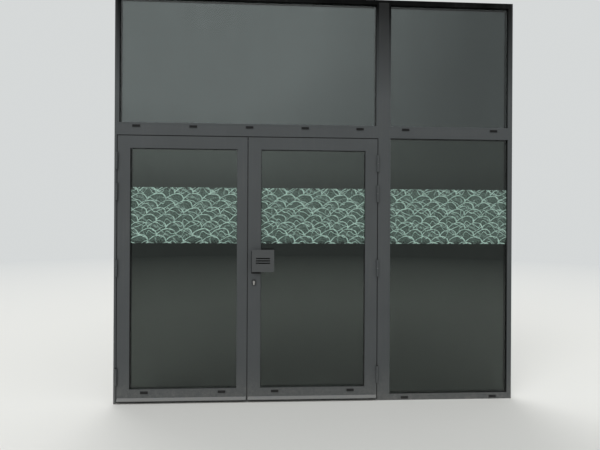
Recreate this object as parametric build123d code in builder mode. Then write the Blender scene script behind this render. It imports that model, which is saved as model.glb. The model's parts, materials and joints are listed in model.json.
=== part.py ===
from build123d import *
from collections import namedtuple
import os

# Glass entrance screen: a double-leaf door that opens outwards, a fixed sidelight on its right and
# two fanlights above, all in thermally broken aluminium profiles. Millimetres. X runs to the right
# seen from outside, Y runs into the building from the middle of the frame's depth, and Z runs up.
# The origin is the middle of the frame's foot.

os.makedirs("parts", exist_ok=True)

# Leaves and glazed openings
left_leaf_w = 1043.0
right_leaf_w = 1066.0
leaf_h = 2152.0
leaf_gap = 7.0
floor_gap = 7.0
sidelight_w = 1036.0
fanlight_h = 1043.0

# Faces of the frame members, without the beads and stop legs beside them
jamb_w = 18.0
head_w = 23.0
sill_w = 32.0
mullion_w = 85.0
door_transom_w = 83.0
side_transom_w = 64.0
threshold_h = 9.0

# Faces of the leaf members, with the glazing leg
hinge_stile_w = 100.0
left_meeting_w = 83.0
right_meeting_w = 105.0
top_rail_w = 100.0
bottom_rail_w = 100.0
leaf_rebate = 22.0
leaf_step = 20.0
flange_t = 8.0

# Threshold: bevelled nose, treads on top and two channels below
threshold_nose = 4.0
tread_ribs = 9
tread_pitch = 6.0
tread_groove = 2.0
tread_d = 1.0
channel_w = 22.0
channel_d = 4.5
channel_pitch = 34.0

# Depth of the profiles
depth = 70.0
shell_d = 27.0
lip_d = 14.0
wall = 2.0
clip_wall = 3.5
break_wall = 3.5
tip = 8.0
leg_w = 21.0
bead_w = 18.0
bead_wall = 1.6

# Thermal bars and their dovetail heads
bar_in = 2.0
bar_head = 5.0
bar_head_t = 1.5
bar_web = 3.0

# Grooves for gaskets and bead clips
groove_in = 4.0
groove_w = 3.0
groove_d = 3.0
clip_d = 1.5
clip_in = 10.5
fit = 0.2
cut_gap = 0.1

# Glass units, gaskets and setting blocks
pane_t = 9.0
unit_t = 34.0
gasket_t = 4.0
gasket_lip = 1.5
gasket_seat = 6.0
edge_clear = 5.0
spacer_in = 4.0
spacer_w = 12.0
block_l = 100.0
connector_l = 40.0

# Decorative film
film_bottom = 1299.0
film_top = 1754.0
film_margin = 3.0
film_t = 0.3
wave_rows = 4
wave_pitch = 187.0
wave_line = 9.0

# Hinges
hinge_heights = (204.0, 1082.0, 1697.0, 1948.0)
hinge_h = 140.0
hinge_out = 10.0
knuckle_r = 9.0
pin_r = 4.0
pin_play = 0.05
pin_in = 8.0
wing_w = 13.0
wing_t = 4.0
knuckle_gap = 1.0

# Lock in the active leaf
lock_z = 984.0
lock_in = 50.0
face_t = 3.0
face_w = 15.6
face_h = 235.0
case_l = 71.0
case_t = 14.0
case_below = 75.0
case_above = 85.0
case_wall = 1.5
bolt_up = 17.0
bolt_h = 30.0
bolt_t = 9.0
bolt_play = 0.3
bolt_rib = 10.0
cylinder_l = 80.0
barrel_r = 8.5
stem_r = 5.0
stem_drop = 19.5
plug_r = 6.5
cam_r = 14.5
cam_w = 8.0
cam_t = 10.0
key_w = 2.4
key_h = 7.0
key_d = 20.0
bridge_h = 8.8
escutcheon_w = 40.0
escutcheon_h = 60.0
escutcheon_t = 4.0
escutcheon_drop = 4.0

# Pull handles
pull_size = 180.0
pull_left_in = 34.5
pull_z = 1160.5
pull_out = 50.0
pull_rim = 16.0
pull_t = 3.0
pull_corner = 5.0
pull_base_w = 53.0
pull_base_h = 150.0
slot_w = 115.0
slot_h = 10.0
slot_pitch = 19.0
slot_d = 30.0
stud_r = 4.0
stud_spacing = 100.0
stud_deep = 25.0

# Flush bolts in the passive leaf
rod_r = 4.0
rod_in = 28.0
rod_end = 1.5
socket_w = 14.0
socket_t = 12.0
slide_from_end = 350.0
slide_h = 20.0
slide_t = 6.0
slide_travel = 15.0
plate_h = 200.0
guide_h = 20.0
strike_h = 120.0

# Seals, drip bar, drains and wall fixings
meeting_lip = 2.9
meeting_seal_w = 6.0
stop_seal_t = 4.7
stop_seal_w = 6.0
brush_w = 6.0
brush_clear = 0.5
brush_plate_w = 22.0
brush_plate_t = 2.0
seal_end = 5.0
drip_up = 9.0
drip_h = 23.0
drip_out = 18.0
drip_t = 2.5
drip_end = 4.0
drain_count = 5
drain_margin = 136.0
side_drain_margin = 126.0
leaf_drain_margin = 119.0
drain_drop = 14.0
leaf_drain_drop = 8.0
cap_w = 60.0
cap_h = 18.0
cap_rise = 5.0
cap_out = 7.0
cap_wall = 1.5
slot_l = 26.0
slot_t = 4.0
inlet_inset = 0.5
fixing_r = 4.25
fixing_y = 16.5
fixing_count = 4
fixing_first = 300.0
fixing_pitch = 908.0

# Depth planes from outside to inside
front = -depth / 2
back = depth / 2
lip_back = front + lip_d
outer_back = front + shell_d
inner_front = back - shell_d
glass_front = lip_back + gasket_t
glass_back = glass_front + unit_t
leg_front = glass_back + gasket_t
hinge_y = front - hinge_out

Rect = namedtuple("Rect", "left right bottom top")


def grown(rect, by):
    """The rectangle with each side moved outwards."""
    return Rect(rect.left - by, rect.right + by, rect.bottom - by, rect.top + by)


# Places in the elevation
overall_w = 2 * jamb_w + 3 * leaf_gap + left_leaf_w + right_leaf_w + mullion_w + sidelight_w
outer_left = -overall_w / 2
outer_right = overall_w / 2
door_left = outer_left + jamb_w
leaf_bottom = threshold_h + floor_gap
leaf_top = leaf_bottom + leaf_h
left_rect = Rect(door_left + leaf_gap, door_left + leaf_gap + left_leaf_w, leaf_bottom, leaf_top)
right_rect = Rect(
    left_rect.right + leaf_gap, left_rect.right + leaf_gap + right_leaf_w, leaf_bottom, leaf_top
)
door_right = right_rect.right + leaf_gap
side_left = door_right + mullion_w
side_right = side_left + sidelight_w
door_top = leaf_top + leaf_gap
fan_bottom = door_top + door_transom_w
fan_top = fan_bottom + fanlight_h
height = fan_top + head_w
side_top = fan_bottom - side_transom_w
left_fanlight = Rect(door_left, door_right, fan_bottom, fan_top)
right_fanlight = Rect(side_left, side_right, fan_bottom, fan_top)
sidelight = Rect(side_left, side_right, sill_w, side_top)
fixed_lights = (left_fanlight, right_fanlight, sidelight)

Leaf = namedtuple("Leaf", "side rect toward hinge_x edge_x meeting_w")
left_leaf = Leaf("left", left_rect, 1, left_rect.left, left_rect.right, left_meeting_w)
right_leaf = Leaf("right", right_rect, -1, right_rect.right, right_rect.left, right_meeting_w)
rod_x = left_leaf.edge_x - rod_in
lock_x = right_leaf.edge_x + lock_in
bolt_bottom = lock_z + bolt_up
bolt_mid = bolt_bottom + bolt_h / 2
plate_from_end = {"top": leaf_top - slide_from_end, "bottom": leaf_bottom + slide_from_end}

pieces = {}


def upright(x, toward, bottom, top):
    """Plane of an upright's section, which looks towards its glass, with the extrusion's length."""
    if toward > 0:
        return Plane(origin=(x, 0, bottom), x_dir=(1, 0, 0), z_dir=(0, 0, 1)), top - bottom
    return Plane(origin=(x, 0, top), x_dir=(-1, 0, 0), z_dir=(0, 0, -1)), top - bottom


def crossing(z, toward, left, right):
    """Plane of a crossing member's section, which looks up or down, with the extrusion's length."""
    if toward > 0:
        return Plane(origin=(right, 0, z), x_dir=(0, 0, 1), z_dir=(-1, 0, 0)), right - left
    return Plane(origin=(left, 0, z), x_dir=(0, 0, -1), z_dir=(1, 0, 0)), right - left


def elevation(y):
    """Plane seen from outside at a depth; an extrusion runs out of the building."""
    return Plane.XZ.offset(-y)


def span(u0, u1, v0, v1, mode=Mode.ADD):
    """A rectangle between two corners, in the active sketch."""
    with Locations(((u0 + u1) / 2, (v0 + v1) / 2)):
        Rectangle(u1 - u0, v1 - v0, mode=mode)


def block(x, y, z, mode=Mode.ADD):
    """A box between two values on each axis, in either order, in the active part."""
    with Locations((sum(x) / 2, sum(y) / 2, sum(z) / 2)):
        Box(abs(x[1] - x[0]), abs(y[1] - y[0]), abs(z[1] - z[0]), mode=mode)


def rod(radius, x, y, z, mode=Mode.ADD):
    """A round bar along the one axis that is given two values, in the active part."""
    ends = [v if isinstance(v, tuple) else (v, v) for v in (x, y, z)]
    start, stop = (Vector(*[e[k] for e in ends]) for k in (0, 1))
    with BuildSketch(Plane(origin=start, z_dir=stop - start)) as disc:
        Circle(radius)
    extrude(disc.sketch, amount=(stop - start).length, mode=mode)


def panel(rect, y0, y1, hole=None):
    """A plate in the elevation between two depths, with an optional rectangular hole."""
    with BuildSketch(elevation(y1)) as outline:
        span(*rect)
        if hole:
            span(*hole, mode=Mode.SUBTRACT)
    extrude(outline.sketch, amount=y1 - y0)


# Sections, drawn across the member from its outer edge, with Y as the other axis


def bar_places(body):
    """Where the two thermal bars start across a member's body."""
    return bar_in, body - bar_in - bar_head


def break_grooves(body):
    """Grooves that hold the heads of the thermal bars."""
    for u in bar_places(body):
        span(u, u + bar_head, outer_back - bar_head_t, outer_back, Mode.SUBTRACT)
        span(u, u + bar_head, inner_front, inner_front + bar_head_t, Mode.SUBTRACT)


def bar_sections(body):
    """The two thermal bars of a member, each a web with a head in either shell."""
    for u in bar_places(body):
        web = u + (bar_head - bar_web) / 2
        span(web, web + bar_web, outer_back, inner_front)
        span(u, u + bar_head, outer_back - bar_head_t, outer_back)
        span(u, u + bar_head, inner_front, inner_front + bar_head_t)


def frame_shells(body, legs):
    """Shells of a frame member, with a stop leg beyond its body on each side named in legs."""
    span(0, body, front, outer_back)
    span(0, body, inner_front, back)
    if 1 in legs:
        span(body, body + leg_w, leg_front, back)
    if -1 in legs:
        span(-leg_w, 0, leg_front, back)
    span(clip_wall, body - clip_wall, front + wall, outer_back - break_wall, Mode.SUBTRACT)
    span(wall, body - wall, inner_front + break_wall, back - wall, Mode.SUBTRACT)
    if 1 in legs:
        span(body - wall, body + leg_w - tip, leg_front + wall, back - wall, Mode.SUBTRACT)
        gasket_groove(body + leg_w - groove_in, leg_front, 1)
        span(body - clip_d, body, *clip_slot(front + clip_in), Mode.SUBTRACT)
    if -1 in legs:
        span(tip - leg_w, wall, leg_front + wall, back - wall, Mode.SUBTRACT)
        gasket_groove(groove_in - leg_w, leg_front, 1)
        span(0, clip_d, *clip_slot(front + clip_in), Mode.SUBTRACT)
    break_grooves(body)


def leaf_shells(width, step):
    """Shells of a leaf member, with the glazing leg outside and a step behind its outer edge."""
    core = width - leaf_rebate
    span(0, core, front, outer_back)
    span(core, width, front, lip_back)
    span(wall, core - wall, front + wall, outer_back - break_wall, Mode.SUBTRACT)
    span(core - wall, width - tip, front + wall, lip_back - wall, Mode.SUBTRACT)
    gasket_groove(width - groove_in, lip_back, -1)
    span(step, core, inner_front, back)
    if step:
        span(0, step, inner_front, inner_front + flange_t)
        span(step + wall, core - clip_wall, inner_front + break_wall, back - wall, Mode.SUBTRACT)
        span(wall, step + wall, inner_front + break_wall, inner_front + flange_t - wall, Mode.SUBTRACT)
    else:
        span(wall, core - clip_wall, inner_front + break_wall, back - wall, Mode.SUBTRACT)
    span(core - clip_d, core, *clip_slot(back - clip_in + wall), Mode.SUBTRACT)
    break_grooves(core)


def clip_slot(y):
    """Depths between which a bead clip's groove runs."""
    return y - groove_w / 2, y + groove_w / 2


def gasket_groove(u, y, into):
    """Groove for a gasket's foot, cut from a face at depth y towards into."""
    low, high = sorted((y, y + into * groove_d))
    span(u - groove_w / 2, u + groove_w / 2, low, high, Mode.SUBTRACT)


def bead_section(width, y0, y1, clip_y, groove_y, into):
    """A hollow glazing bead with its clip and its gasket groove."""
    span(0, width, y0, y1)
    span(fit - clip_d, 0, clip_y - groove_w / 2 + fit, clip_y + groove_w / 2 - fit)
    span(bead_wall, width - tip, y0 + bead_wall, y1 - bead_wall, Mode.SUBTRACT)
    gasket_groove(width - groove_in, groove_y, into)


def outer_bead():
    """Bead outside a fixed light."""
    bead_section(bead_w, front, lip_back, front + clip_in, lip_back, -1)


def inner_bead():
    """Bead inside a leaf's glass."""
    bead_section(leaf_rebate, leg_front, back, back - clip_in + wall, leg_front, 1)


# Pieces that run round an opening


def bead_bars(opening, width, section):
    """Four beads round an opening: the level ones run through and the upright ones stand between."""
    runs = (
        crossing(opening.bottom, 1, opening.left, opening.right),
        crossing(opening.top, -1, opening.left, opening.right),
        upright(opening.left, 1, opening.bottom + width + cut_gap, opening.top - width - cut_gap),
        upright(opening.right, -1, opening.bottom + width + cut_gap, opening.top - width - cut_gap),
    )
    for plane, length in runs:
        with BuildSketch(plane) as profile:
            section()
        extrude(profile.sketch, amount=length)


def gasket_ring(daylight, seat_y, glass_y):
    """A gasket round a daylight opening, pressed between its seat and the glass, with its foot."""
    low, high = sorted((seat_y, glass_y))
    panel(grown(daylight, gasket_seat), low, high, grown(daylight, -gasket_lip))
    deep = seat_y - groove_d + fit if glass_y > seat_y else seat_y + groove_d - fit
    foot_strips(daylight, seat_y, deep)


def foot_strips(daylight, y0, y1, sides=(-1, 1)):
    """Feet in the grooves round a daylight opening, cut off square where two members cross."""
    left, right, bottom, top = daylight
    half = groove_w / 2 - fit
    for side in sides:
        z = top + groove_in if side > 0 else bottom - groove_in
        block((left, right), (y0, y1), (z - half, z + half))
    for x in (left - groove_in, right + groove_in):
        block((x - half, x + half), (y0, y1), (bottom, top))


def glass_unit(glass):
    """Outer and inner pane of an insulating unit."""
    panel(glass, glass_front, glass_front + pane_t)
    panel(glass, glass_back - pane_t, glass_back)


def spacer_ring(glass):
    """Spacer between the two panes, just inside their edge."""
    rim = grown(glass, -spacer_in)
    panel(rim, glass_front + pane_t, glass_back - pane_t, grown(rim, -spacer_w))


def setting_blocks(glass, floor):
    """Two blocks at the quarter points that carry the glass on the rebate floor."""
    for share in (0.25, 0.75):
        x = glass.left + share * (glass.right - glass.left)
        block((x - block_l / 2, x + block_l / 2), (glass_front, glass_back), (floor, glass.bottom))


def film_band(left, right):
    """Film on the outer face of the glass: a clear carrier with rows of printed wave crests."""
    print_y = glass_front - film_t
    panel(Rect(left, right, film_bottom, film_top), print_y, glass_front)
    columns = int((right - left) / wave_pitch)
    crest_w = (right - left) / columns
    row_h = (film_top - film_bottom) / wave_rows
    centre = (left + right) / 2
    for row in range(wave_rows):
        count = columns - row % 2
        base = film_bottom + row * row_h
        with BuildSketch(elevation(print_y)) as crests:
            with Locations((centre, base + wave_line)):
                with GridLocations(crest_w, 1, count, 1):
                    wave_crest(crest_w - wave_line, row_h - 3 * wave_line)
        extrude(crests.sketch, amount=film_t)


def wave_crest(width, rise):
    """A pointed band bent over three straight stretches, like the crest of a wave."""
    over = [(-width / 2, 0), (-width / 4, 0.75 * rise), (0, rise), (width / 4, 0.75 * rise), (width / 2, 0)]
    under = [(x, z - wave_line) for x, z in over[3:0:-1]]
    Polygon(*over, *under, align=None)


# Hardware that repeats


def hinge_half(x, toward, z0, z1, bore, bore_z):
    """A knuckle with the wing that lies on the profile's face."""
    rod(knuckle_r, x, hinge_y, (z0, z1))
    block((x, x + toward * wing_w), (front - wing_t, front), (z0, z1))
    rod(bore, x, hinge_y, bore_z, Mode.SUBTRACT)


def drain_xs(daylight, margin, count):
    """Evenly spaced drains between the margins of a daylight opening."""
    first = daylight.left + margin
    step = (daylight.right - daylight.left - 2 * margin) / (count - 1)
    return [first + k * step for k in range(count)]


def drain_slots(xs, floor, drop):
    """Slots from the rebate floor into the outer chamber and out through its face."""
    inlet_y = (lip_back + inlet_inset, outer_back - break_wall - inlet_inset)
    for x in xs:
        across = (x - slot_l / 2, x + slot_l / 2)
        outlet = (floor - drop - slot_t / 2, floor - drop + slot_t / 2)
        block(across, (front, front + wall), outlet, Mode.SUBTRACT)
        block(across, inlet_y, (floor - clip_wall, floor), Mode.SUBTRACT)


def drain_cap(x, outlet_z):
    """A sloped hood over a drain slot, open below on either side of its middle rib."""
    z = outlet_z + cap_rise
    with BuildSketch(Plane.YZ.offset(x - cap_w / 2)) as hood:
        with BuildLine():
            Polyline(
                (front, z + cap_h / 2),
                (front, z - cap_h / 2),
                (front - cap_out, z - cap_h / 2),
                (front - cap_out, z - cap_h / 4),
                (front - cap_wall, z + cap_h / 2),
                close=True,
            )
        make_face()
    extrude(hood.sketch, amount=cap_w)
    pocket = (cap_w - 3 * cap_wall) / 2
    for side in (-1, 1):
        middle = x + side * (pocket + cap_wall) / 2
        across = (middle - pocket / 2, middle + pocket / 2)
        block(across, (front - cap_out + 2 * cap_wall, front), (z - cap_h / 2, z), Mode.SUBTRACT)


def euro_profile(grow=0.0):
    """Outline of the lock cylinder, grown by a clearance."""
    Circle(barrel_r + grow)
    span(-stem_r - grow, stem_r + grow, -stem_drop, 0)
    with Locations((0, -stem_drop)):
        Circle(stem_r + grow)


def cylinder_hole(y0, y1):
    """Opening for the lock cylinder between two depths."""
    with BuildSketch(Plane(origin=(lock_x, y1, lock_z), x_dir=(1, 0, 0), z_dir=(0, -1, 0))) as hole:
        euro_profile(2 * fit)
    extrude(hole.sketch, amount=y1 - y0, mode=Mode.SUBTRACT)


def bolt_socket(z):
    """Punched opening for the end of a flush bolt."""
    block((rod_x - socket_w / 2, rod_x + socket_w / 2), (-socket_t / 2, socket_t / 2), z, Mode.SUBTRACT)


# Frame members


def cope_for_legs(left, right, bottom, top):
    """Cut a crossing member round the stop legs of the two uprights that it meets."""
    block((left, left + leg_w), (leg_front, back), (bottom - leg_w, top + leg_w), Mode.SUBTRACT)
    block((right - leg_w, right), (leg_front, back), (bottom - leg_w, top + leg_w), Mode.SUBTRACT)


def wall_fixings(x0, x1):
    """Clearance holes for wall anchors through a jamb's inner shell."""
    for k in range(fixing_count):
        rod(fixing_r, (x0, x1), fixing_y, fixing_first + k * fixing_pitch, Mode.SUBTRACT)


with BuildPart() as jamb_left:
    plane, length = upright(outer_left, 1, 0, height)
    with BuildSketch(plane):
        frame_shells(jamb_w, (1,))
    extrude(amount=length)
    block((door_left, door_left + leg_w), (leg_front, back), (0, threshold_h), Mode.SUBTRACT)
    wall_fixings(outer_left, door_left)
pieces["jamb_left"] = jamb_left

with BuildPart() as jamb_right:
    plane, length = upright(outer_right, -1, 0, height)
    with BuildSketch(plane):
        frame_shells(jamb_w, (1,))
    extrude(amount=length)
    wall_fixings(outer_right, side_right)
pieces["jamb_right"] = jamb_right

with BuildPart() as mullion:
    plane, length = upright(door_right, 1, 0, fan_top)
    with BuildSketch(plane):
        frame_shells(mullion_w, (-1, 1))
    extrude(amount=length)
    block((door_right - leg_w, door_right), (leg_front, back), (0, threshold_h), Mode.SUBTRACT)
    across = (door_right - leg_w, side_left + leg_w)
    block(across, (leg_front, back), (fan_top - leg_w, fan_top), Mode.SUBTRACT)
pieces["mullion"] = mullion

with BuildPart() as head:
    plane, length = crossing(height, -1, door_left, side_right)
    with BuildSketch(plane):
        frame_shells(head_w, (1,))
    extrude(amount=length)
    cope_for_legs(door_left, side_right, fan_top, height)
pieces["head"] = head

with BuildPart() as transom_door:
    plane, length = crossing(door_top, 1, door_left, door_right)
    with BuildSketch(plane):
        frame_shells(door_transom_w, (-1, 1))
    extrude(amount=length)
    cope_for_legs(door_left, door_right, door_top, fan_bottom)
    drain_slots(drain_xs(grown(left_fanlight, -bead_w), drain_margin, drain_count), fan_bottom, drain_drop)
pieces["transom_door"] = transom_door

with BuildPart() as transom_side:
    plane, length = crossing(side_top, 1, side_left, side_right)
    with BuildSketch(plane):
        frame_shells(side_transom_w, (-1, 1))
    extrude(amount=length)
    cope_for_legs(side_left, side_right, side_top, fan_bottom)
    drain_slots(drain_xs(grown(right_fanlight, -bead_w), side_drain_margin, 2), fan_bottom, drain_drop)
pieces["transom_side"] = transom_side

with BuildPart() as sill_rail:
    plane, length = crossing(0, 1, side_left, side_right)
    with BuildSketch(plane):
        frame_shells(sill_w, (1,))
    extrude(amount=length)
    cope_for_legs(side_left, side_right, 0, sill_w)
    drain_slots(drain_xs(grown(sidelight, -bead_w), side_drain_margin, 2), sill_w, drain_drop)
pieces["sill_rail"] = sill_rail

with BuildPart() as threshold:
    with BuildSketch(Plane.YZ.offset(door_left)):
        with BuildLine():
            Polyline(
                (front, 0),
                (back, 0),
                (back, threshold_h),
                (front + threshold_nose, threshold_h),
                (front, threshold_h - threshold_nose),
                close=True,
            )
        make_face()
        with Locations((0, channel_d / 2)):
            with GridLocations(channel_pitch, 1, 2, 1):
                Rectangle(channel_w, channel_d, mode=Mode.SUBTRACT)
        with Locations((0, threshold_h - tread_d / 2)):
            with GridLocations(tread_pitch, 1, tread_ribs, 1):
                Rectangle(tread_groove, tread_d, mode=Mode.SUBTRACT)
    extrude(amount=door_right - door_left)
    bolt_socket((0, threshold_h))
pieces["threshold"] = threshold

frame_runs = (
    (jamb_w, upright(outer_left, 1, 0, height)),
    (jamb_w, upright(outer_right, -1, 0, height)),
    (mullion_w, upright(door_right, 1, 0, fan_top)),
    (head_w, crossing(height, -1, door_left, side_right)),
    (door_transom_w, crossing(door_top, 1, door_left, door_right)),
    (side_transom_w, crossing(side_top, 1, side_left, side_right)),
    (sill_w, crossing(0, 1, side_left, side_right)),
)
with BuildPart() as frame_thermal_bars:
    for body, (plane, length) in frame_runs:
        with BuildSketch(plane):
            bar_sections(body)
        extrude(amount=length)
    bolt_socket((door_top, door_top + bar_in + bar_head))
pieces["frame_thermal_bars"] = frame_thermal_bars

with BuildPart() as frame_connectors:
    chamber_y = (front + wall + fit, outer_back - break_wall - fit)
    keep = clip_wall + fit
    joints = (
        (door_left, side_right, fan_top, height),
        (door_left, door_right, door_top, fan_bottom),
        (side_left, side_right, side_top, fan_bottom),
        (side_left, side_right, 0, sill_w),
    )
    for left, right, bottom, top in joints:
        block((left, left + connector_l), chamber_y, (bottom + keep, top - keep))
        block((right - connector_l, right), chamber_y, (bottom + keep, top - keep))
    block((door_right + keep, side_left - keep), chamber_y, (fan_top - connector_l, fan_top))
pieces["frame_connectors"] = frame_connectors

# Glazing of the fixed lights


def fixed_glass(light):
    """Glass of a fixed light, clear of the bodies round it."""
    return grown(light, -edge_clear)


with BuildPart() as fanlight_glass:
    glass_unit(fixed_glass(left_fanlight))
    glass_unit(fixed_glass(right_fanlight))
pieces["fanlight_glass"] = fanlight_glass

with BuildPart() as sidelight_glass:
    glass_unit(fixed_glass(sidelight))
pieces["sidelight_glass"] = sidelight_glass

with BuildPart() as frame_spacers:
    for light in fixed_lights:
        spacer_ring(fixed_glass(light))
pieces["frame_spacers"] = frame_spacers

with BuildPart() as frame_gaskets:
    for light in fixed_lights:
        gasket_ring(grown(light, -bead_w), lip_back, glass_front)
        gasket_ring(grown(light, -leg_w), leg_front, glass_back)
        setting_blocks(fixed_glass(light), light.bottom)
pieces["frame_gaskets"] = frame_gaskets

with BuildPart() as fixed_light_beads:
    for light in fixed_lights:
        bead_bars(light, bead_w, outer_bead)
pieces["fixed_light_beads"] = fixed_light_beads

with BuildPart() as frame_drain_caps:
    for x in drain_xs(grown(left_fanlight, -bead_w), drain_margin, drain_count):
        drain_cap(x, fan_bottom - drain_drop)
    for x in drain_xs(grown(right_fanlight, -bead_w), side_drain_margin, 2):
        drain_cap(x, fan_bottom - drain_drop)
    for x in drain_xs(grown(sidelight, -bead_w), side_drain_margin, 2):
        drain_cap(x, sill_w - drain_drop)
pieces["frame_drain_caps"] = frame_drain_caps

with BuildPart() as door_stop_seal:
    # The strip covers the groove in the stop legs and just clears the closed leaves
    legs_tip = Rect(door_left + leg_w, door_right - leg_w, threshold_h, door_top - leg_w)
    rim = grown(legs_tip, groove_in + stop_seal_w / 2)._replace(bottom=threshold_h)
    clear = grown(legs_tip, groove_in - stop_seal_w / 2)._replace(bottom=threshold_h)
    panel(rim, leg_front - stop_seal_t, leg_front, clear)
    foot_strips(legs_tip, leg_front, leg_front + groove_d - fit, sides=(1,))
pieces["door_stop_seal"] = door_stop_seal

with BuildPart() as sidelight_film:
    film_band(side_left + bead_w + film_margin, side_right - bead_w - film_margin)
pieces["sidelight_film"] = sidelight_film

# Hinges between the frame and both leaves

hinge_places = [
    (leaf, leaf.hinge_x - leaf.toward * leaf_gap / 2, leaf_bottom + up)
    for leaf in (left_leaf, right_leaf)
    for up in hinge_heights
]

with BuildPart() as hinge_frame_halves:
    for leaf, x, z in hinge_places:
        low = z - hinge_h / 2
        hinge_half(x, -leaf.toward, low, z - knuckle_gap, pin_r, (low + pin_in, z - knuckle_gap))
pieces["hinge_frame_halves"] = hinge_frame_halves

with BuildPart() as hinge_pins:
    for leaf, x, z in hinge_places:
        reach = hinge_h / 2 - pin_in
        rod(pin_r, x, hinge_y, (z - reach, z + reach))
pieces["hinge_pins"] = hinge_pins

# Leaves

for leaf in (left_leaf, right_leaf):
    name = leaf.side
    hinge_core = leaf.hinge_x + leaf.toward * (hinge_stile_w - leaf_rebate)
    meeting_core = leaf.edge_x - leaf.toward * (leaf.meeting_w - leaf_rebate)
    hinge_sight = hinge_core + leaf.toward * leaf_rebate
    meeting_sight = meeting_core - leaf.toward * leaf_rebate
    core_left, core_right = sorted((hinge_core, meeting_core))
    core = Rect(
        core_left,
        core_right,
        leaf_bottom + bottom_rail_w - leaf_rebate,
        leaf_top - top_rail_w + leaf_rebate,
    )
    daylight = grown(core, -leaf_rebate)
    glass = grown(core, -edge_clear)
    drains = drain_xs(daylight, leaf_drain_margin, 2)
    stile_top_cut = (leaf_top - leaf_step, leaf_top)
    behind_flange = (inner_front + flange_t, back)

    with BuildPart() as hinge_stile:
        plane, length = upright(leaf.hinge_x, leaf.toward, leaf_bottom, leaf_top)
        with BuildSketch(plane):
            leaf_shells(hinge_stile_w, leaf_step)
        extrude(amount=length)
        block((leaf.hinge_x, hinge_core), behind_flange, stile_top_cut, Mode.SUBTRACT)
    pieces[name + "_hinge_stile"] = hinge_stile

    with BuildPart() as meeting_stile:
        plane, length = upright(leaf.edge_x, -leaf.toward, leaf_bottom, leaf_top)
        with BuildSketch(plane):
            leaf_shells(leaf.meeting_w, 0)
        extrude(amount=length)
        block((leaf.edge_x, meeting_core), behind_flange, stile_top_cut, Mode.SUBTRACT)
        if leaf is right_leaf:
            cylinder_hole(front, back)
            # The pocket for the lock case opens the walls between the shells
            pocket_x = (lock_x - stem_r - barrel_r, lock_x + stem_r + barrel_r)
            pocket_z = (lock_z - stem_drop - barrel_r, lock_z + barrel_r + stem_r)
            pocket_y = (outer_back - break_wall, inner_front + break_wall)
            block(pocket_x, pocket_y, pocket_z, Mode.SUBTRACT)
            # Square punched holes take the studs of the pull handles
            x = leaf.edge_x + pull_left_in + pull_base_w / 2
            punch = stud_r + fit
            for z in (pull_z - stud_spacing / 2, pull_z + stud_spacing / 2):
                block((x - punch, x + punch), (front, back), (z - punch, z + punch), Mode.SUBTRACT)
    pieces[name + "_meeting_stile"] = meeting_stile

    # Rails stand between the stiles and are cut round the stiles' glazing legs
    with BuildPart() as top_rail:
        plane, length = crossing(leaf_top, -1, core.left, core.right)
        with BuildSketch(plane):
            leaf_shells(top_rail_w, leaf_step)
        extrude(amount=length)
        for x in ((hinge_core, hinge_sight), (meeting_core, meeting_sight)):
            block(x, (front, lip_back), (daylight.top, leaf_top), Mode.SUBTRACT)
    pieces[name + "_top_rail"] = top_rail

    with BuildPart() as bottom_rail:
        plane, length = crossing(leaf_bottom, 1, core.left, core.right)
        with BuildSketch(plane):
            leaf_shells(bottom_rail_w, 0)
        extrude(amount=length)
        for x in ((hinge_core, hinge_sight), (meeting_core, meeting_sight)):
            block(x, (front, lip_back), (leaf_bottom, daylight.bottom), Mode.SUBTRACT)
        drain_slots(drains, core.bottom, leaf_drain_drop)
    pieces[name + "_bottom_rail"] = bottom_rail

    with BuildPart() as thermal_bars:
        runs = (
            (hinge_stile_w, upright(leaf.hinge_x, leaf.toward, leaf_bottom, leaf_top)),
            (leaf.meeting_w, upright(leaf.edge_x, -leaf.toward, leaf_bottom, leaf_top)),
            (top_rail_w, crossing(leaf_top, -1, core.left, core.right)),
            (bottom_rail_w, crossing(leaf_bottom, 1, core.left, core.right)),
        )
        for width, (plane, length) in runs:
            with BuildSketch(plane):
                bar_sections(width - leaf_rebate)
            extrude(amount=length)
        # The bar at the free edge is milled away behind the edge fittings
        fittings = [(lock_z - face_h / 2, lock_z + face_h / 2)]
        if leaf is left_leaf:
            fittings = [(bolt_mid - strike_h / 2, bolt_mid + strike_h / 2)]
            for z in plate_from_end.values():
                fittings.append((z - plate_h / 2, z + plate_h / 2))
        edge_zone = (leaf.edge_x, leaf.edge_x - leaf.toward * (bar_in + bar_head))
        for z in fittings:
            block(edge_zone, (outer_back - bar_head_t, inner_front + bar_head_t), z, Mode.SUBTRACT)
    pieces[name + "_thermal_bars"] = thermal_bars

    with BuildPart() as connectors:
        chamber_y = (inner_front + break_wall + fit, back - wall - fit)
        rails = (
            (leaf_bottom + wall + fit, core.bottom - clip_wall - fit),
            (core.top + clip_wall + fit, leaf_top - leaf_step - wall - fit),
        )
        for z in rails:
            block((core.left, core.left + connector_l), chamber_y, z)
            block((core.right - connector_l, core.right), chamber_y, z)
    pieces[name + "_connectors"] = connectors

    with BuildPart() as leaf_glass:
        glass_unit(glass)
    pieces[name + "_glass"] = leaf_glass

    with BuildPart() as spacer:
        spacer_ring(glass)
    pieces[name + "_spacer"] = spacer

    with BuildPart() as gaskets:
        gasket_ring(daylight, lip_back, glass_front)
        gasket_ring(daylight, leg_front, glass_back)
        setting_blocks(glass, core.bottom)
    pieces[name + "_gaskets"] = gaskets

    with BuildPart() as beads:
        bead_bars(core, leaf_rebate, inner_bead)
    pieces[name + "_beads"] = beads

    with BuildPart() as film:
        film_band(daylight.left + film_margin, daylight.right - film_margin)
    pieces[name + "_film"] = film

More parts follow.
